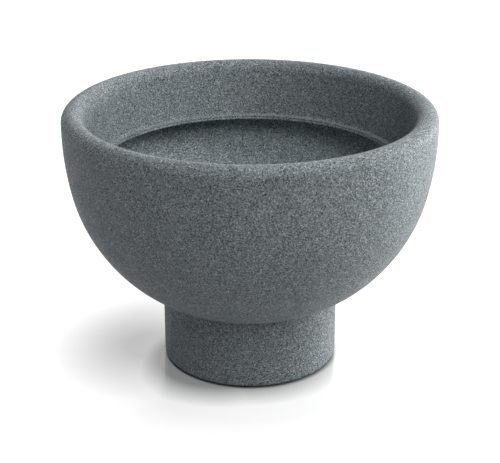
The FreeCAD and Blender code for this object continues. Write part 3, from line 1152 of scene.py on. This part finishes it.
class FLOWERPOT_OT_drain_gasket(bpy.types.Operator):
    """Make the rubber ring under the bush's flange"""

    bl_idname = "flower_pot.drain_gasket"
    bl_label = "Drain gasket"
    bl_options = {"REGISTER", "UNDO"}

    def execute(self, context):
        scene = context.scene
        sizes = scene.pot_drain
        low, high = gasket_low.z, gasket_high.z
        squeeze = (high - low) * SQUEEZE_SHARE
        outer = gasket_high.x
        piece = washer("drain_gasket_ring", outer, sizes.tube_radius, low, high, squeeze, sizes.steps)
        hand_over(scene, piece, "black_rubber", "drain_gasket")
        return {"FINISHED"}


class FLOWERPOT_OT_drain_locknut(bpy.types.Operator):
    """Make the hexagon locknut that clamps the bush under the deck"""

    bl_idname = "flower_pot.drain_locknut"
    bl_label = "Drain locknut"
    bl_options = {"REGISTER", "UNDO"}

    def execute(self, context):
        scene = context.scene
        sizes = scene.pot_drain
        low, high = ring_nut_low.z, ring_nut_high.z
        bore = sizes.tube_radius + sizes.thread_clearance
        chamfer = scene.pot_fasteners.corner_chamfer
        nut = hexagon(
            "drain_locknut_ring", sizes.locknut_across_flats, low, high, chamfer, ("low",), 2 * sizes.steps
        )
        countersink = turned("countersink", [
            (0, low - sizes.chamfer),
            (bore + 2 * sizes.chamfer, low - sizes.chamfer),
            (bore, low + sizes.chamfer),
            (bore, high + sizes.chamfer),
            (0, high + sizes.chamfer),
        ], sizes.steps)
        combine(nut, countersink, "DIFFERENCE")
        hand_over(scene, nut, "black_plastic", "drain_locknut")
        return {"FINISHED"}


class FLOWERPOT_OT_drain_plug(bpy.types.Operator):
    """Make the push-in drain plug with its sealing lips and finger tab"""

    bl_idname = "flower_pot.drain_plug"
    bl_label = "Drain plug"
    bl_options = {"REGISTER", "UNDO"}

    def execute(self, context):
        scene = context.scene
        sizes = scene.pot_drain
        plug = turned("drain_plug_stopper", self.outline(sizes), sizes.steps)
        combine(plug, self.tab(sizes), "UNION")
        hand_over(scene, plug, "black_rubber", "drain_plug", PLUG)
        return {"FINISHED"}

    def outline(self, sizes):
        """Half section of the stopper, with two grooves between its lips."""
        nose = plug_low.z
        seat = bush_high.z
        flange_top = seat + sizes.plug_flange_thickness
        slope = math.tan(sizes.taper)

        def side(height):
            return sizes.mouth_radius - sizes.plug_clearance - (seat - height) * slope

        depth = seat - nose
        outline = [(0, nose, 0), (side(nose), nose, sizes.nose_chamfer)]
        for part in GROOVE_STARTS:
            low = nose + depth * part
            high = low + depth * GROOVE_SHARE
            edge = sizes.plug_groove / 3
            outline += [
                (side(low), low, edge),
                (side(low) - sizes.plug_groove, low + sizes.plug_groove, edge),
                (side(high) - sizes.plug_groove, high - sizes.plug_groove, edge),
                (side(high), high, edge),
            ]
        outline += [
            (side(seat), seat, 0),
            (plug_high.x, seat, sizes.chamfer / 4),
            (plug_high.x, flange_top, sizes.chamfer),
            (0, flange_top, 0),
        ]
        return rounded(outline)

    def tab(self, sizes):
        """Upright finger tab with drawn-in sides, rounded edges and a dish on each face."""
        half = sizes.grip_width / 2
        top = plug_high.z
        base = bush_high.z + sizes.plug_flange_thickness
        root = base - sizes.grip_rounding
        rise = (top - base) / 2
        bow = (rise ** 2 + sizes.grip_waist ** 2) / (2 * sizes.grip_waist)
        spread = math.asin(rise / bow)
        centre = (half - sizes.grip_waist + bow, base + rise)
        right = arc(centre, bow, HALF_TURN + spread, HALF_TURN - spread, TAB_STEPS)
        left = [Vector((-point.x, point.y)) for point in reversed(right)]
        outline = [Vector((half, root))] + right + left + [Vector((-half, root)), Vector((half, root))]
        tab = draw_outline("finger_tab", outline)
        merge_points()
        bpy.ops.mesh.edge_face_add()
        bpy.ops.transform.translate(value=(0, -sizes.grip_thickness / 2, 0))
        bpy.ops.mesh.extrude_region_move(TRANSFORM_OT_translate={"value": (0, sizes.grip_thickness, 0)})
        close_up()
        bevel(tab, width=sizes.grip_rounding, segments=4)
        reach = sizes.grip_thickness / 2 - sizes.dish_depth + sizes.dish_radius
        for place_across in (-reach, reach):
            bpy.ops.object.select_all(action="DESELECT")
            bpy.ops.mesh.primitive_uv_sphere_add(
                segments=DISH_STEPS, ring_count=DISH_STEPS // 2, radius=sizes.dish_radius,
                location=(0, place_across, base + rise),
            )
            combine(tab, bpy.context.object, "DIFFERENCE")
        return tab


class FLOWERPOT_OT_pads(bpy.types.Operator):
    """Make the push-in rubber pads under the foot"""

    bl_idname = "flower_pot.pads"
    bl_label = "Rubber pads"
    bl_options = {"REGISTER", "UNDO"}

    def execute(self, context):
        scene = context.scene
        pads, foot = scene.pot_pads, scene.pot_foot
        pad = turned("rubber_pad", self.outline(pads, foot, scene.pot_bowl.wall), pads.steps)
        for number, piece in enumerate(copies(pad, pad_places(scene)), start=1):
            hand_over(scene, piece, "black_rubber", f"rubber_foot_{number}")
        return {"FINISHED"}

    def outline(self, pads, foot, wall):
        """Half section of a pad: ringed sole, stem through the flange and barbed head."""
        sole = pad_low.z
        head_base = foot.bottom + wall
        outline = [(0, sole + pads.groove_depth, 0)]
        radius = pads.groove_spacing / 2
        while radius + pads.groove_spacing < pads.radius - pads.edge:
            land = pads.groove_spacing * LAND_SHARE
            slope = pads.groove_depth / 2
            outline += [
                (radius - slope, sole + pads.groove_depth, 0),
                (radius, sole, 0),
                (radius + land, sole, 0),
                (radius + land + slope, sole + pads.groove_depth, 0),
            ]
            radius += pads.groove_spacing
        outline += [
            (radius - pads.groove_depth / 2, sole + pads.groove_depth, 0),
            (radius, sole, 0),
            (pads.radius, sole, pads.edge),
            (pads.radius, foot.bottom, pads.edge / 3),
            (pads.stem_radius, foot.bottom, 0),
            (pads.stem_radius, head_base, 0),
            (pads.head_radius, head_base, pads.edge / 2),
            (pads.tip_radius, pad_high.z, pads.edge),
            (0, pad_high.z, 0),
        ]
        return rounded(outline)


class FLOWERPOT_OT_stage(bpy.types.Operator):
    """Set the pale floor, the soft studio lights and the camera"""

    bl_idname = "flower_pot.stage"
    bl_label = "Stage"
    bl_options = {"REGISTER", "UNDO"}

    def execute(self, context):
        scene = context.scene
        stage = scene.pot_stage
        self.add_floor(stage)
        self.light_world(scene, stage)
        for box in SOFTBOXES:
            self.add_softbox(stage, box)
        self.add_camera(scene, stage)
        scene.view_settings.view_transform = "Standard"
        return {"FINISHED"}

    def seen_rays(self, tree):
        """1 for the rays by which the background shows: camera, glossy and transmission rays."""
        path = tree.nodes.new("ShaderNodeLightPath")
        seen = math_node(tree, "MAXIMUM", path.outputs["Is Camera Ray"], path.outputs["Is Glossy Ray"])
        return math_node(tree, "MAXIMUM", seen, path.outputs["Is Transmission Ray"])

    def add_floor(self, stage):
        bpy.ops.object.select_all(action="DESELECT")
        bpy.ops.mesh.primitive_plane_add(size=FLOOR_SIZE, location=CENTRE)
        floor = bpy.context.object
        floor.name = "studio_floor"
        material, tree, shader, vector = new_material("studio_floor")
        seen = self.seen_rays(tree)
        bounce = map_range(
            tree, self.distance(tree, vector, stage.reflector_place), stage.reflector_core,
            stage.reflector_reach, stage.reflector_bounce, stage.floor_bounce,
        )
        grey = mix_colour(tree, seen, bounce, opaque([stage.floor_shown] * 3))
        feed(tree, grey, shader["Base Color"])
        shader["Roughness"].default_value = FLOOR_ROUGHNESS
        shader["Specular IOR Level"].default_value = FLOOR_SPECULAR
        shader["Emission Color"].default_value = WHITE
        from_axis = self.distance(tree, vector, CENTRE)
        foot_edge = foot_high.x
        # Painted shade round the pot: the floor's white is lower near the foot and rises to the far white
        # away from it.
        white_with_near_shade = map_range(
            tree, from_axis, foot_edge + stage.near_reach, foot_edge + stage.far_reach,
            stage.near_shaded_white, stage.far_white,
        )
        shade = map_range(
            tree, from_axis, foot_edge - stage.contact_inset, foot_edge + stage.contact_reach, 0.0, 1.0
        )
        for patch in SHADES:
            shade = math_node(tree, "MINIMUM", shade, self.soft_patch(tree, vector, stage, patch))
        white = math_node(tree, "MULTIPLY", white_with_near_shade, shade)
        feed(tree, math_node(tree, "MULTIPLY", seen, white), shader["Emission Strength"])
        floor.data.materials.append(material)

    def soft_patch(self, tree, vector, stage, patch):
        """Share of the floor's white that a soft round shade leaves."""
        items = ("place", "core", "reach", "left")
        place, core, reach, left = (getattr(stage, f"{patch}_{item}") for item in items)
        return map_range(tree, self.distance(tree, vector, place), core, reach, left, 1.0)

    def distance(self, tree, vector, place):
        return vector_math(tree, "DISTANCE", vector, place)["Value"]

    def light_world(self, scene, stage):
        world = bpy.data.worlds.new("studio")
        world.use_nodes = True
        scene.world = world
        tree = world.node_tree
        background = tree.nodes["Background"]
        background.inputs["Color"].default_value = WHITE
        strength = map_range(tree, self.seen_rays(tree), 0.0, 1.0, stage.ambient, 1.0)
        feed(tree, strength, background.inputs["Strength"])

    def add_softbox(self, stage, box):
        """Softbox that faces the pot."""
        power, side, rise = (getattr(stage, f"{box}_{item}") for item in ("power", "azimuth", "elevation"))
        out = Vector((math.sin(side) * math.cos(rise), -math.cos(side) * math.cos(rise), math.sin(rise)))
        bpy.ops.object.select_all(action="DESELECT")
        bpy.ops.object.light_add(
            type="AREA", location=Vector(LIGHT_TARGET) + out * stage.light_distance,
            rotation=out.to_track_quat("Z", "Y").to_euler(),
        )
        light = bpy.context.object
        light.name = f"{box}_softbox"
        light.data.energy = power
        light.data.shape = "RECTANGLE"
        light.data.size = stage.light_width
        light.data.size_y = stage.light_width * SOFTBOXES[box]["height"]

    def add_camera(self, scene, stage):
        bpy.ops.object.select_all(action="DESELECT")
        bpy.ops.object.camera_add(
            location=stage.camera_place, rotation=(RIGHT_ANGLE - stage.camera_pitch, 0, 0)
        )
        camera = bpy.context.object
        camera.data.sensor_width = SENSOR_WIDTH
        camera.data.lens = stage.lens
        scene.camera = camera


PIECES = (
    FLOWERPOT_OT_bowl, FLOWERPOT_OT_foot, FLOWERPOT_OT_bolts, FLOWERPOT_OT_washers, FLOWERPOT_OT_seals,
    FLOWERPOT_OT_nuts, FLOWERPOT_OT_drain_bush, FLOWERPOT_OT_drain_gasket, FLOWERPOT_OT_drain_locknut,
    FLOWERPOT_OT_drain_plug, FLOWERPOT_OT_pads, FLOWERPOT_OT_stage,
)
SETTINGS = {
    "pot_bowl": BowlSizes, "pot_foot": FootSizes, "pot_fasteners": FastenerSizes, "pot_drain": DrainSizes,
    "pot_pads": PadSizes, "pot_finishes": Finishes, "pot_stage": StageSettings,
}


class FLOWERPOT_PT_sidebar(bpy.types.Panel):
    """Sizes, colours and steps of the flower pot"""

    bl_idname = "FLOWERPOT_PT_sidebar"
    bl_label = "Flower Pot"
    bl_space_type = "VIEW_3D"
    bl_region_type = "UI"
    bl_category = "Flower Pot"

    def draw(self, context):
        for name, group in SETTINGS.items():
            box = self.layout.box()
            box.label(text=group.__doc__)
            settings = getattr(context.scene, name)
            for label in group.__annotations__:
                box.prop(settings, label)
        for step in PIECES:
            self.layout.operator(step.bl_idname)


def register():
    for item in (*SETTINGS.values(), *PIECES, FLOWERPOT_PT_sidebar):
        bpy.utils.register_class(item)
    for name, group in SETTINGS.items():
        setattr(bpy.types.Scene, name, PointerProperty(type=group))


def unregister():
    for name in SETTINGS:
        delattr(bpy.types.Scene, name)
    for item in (FLOWERPOT_PT_sidebar, *reversed(PIECES), *reversed(SETTINGS.values())):
        bpy.utils.unregister_class(item)


def main():
    register()
    for step in PIECES:
        group, action = step.bl_idname.split(".")
        getattr(getattr(bpy.ops, group), action)()


if __name__ == "__main__":
    main()
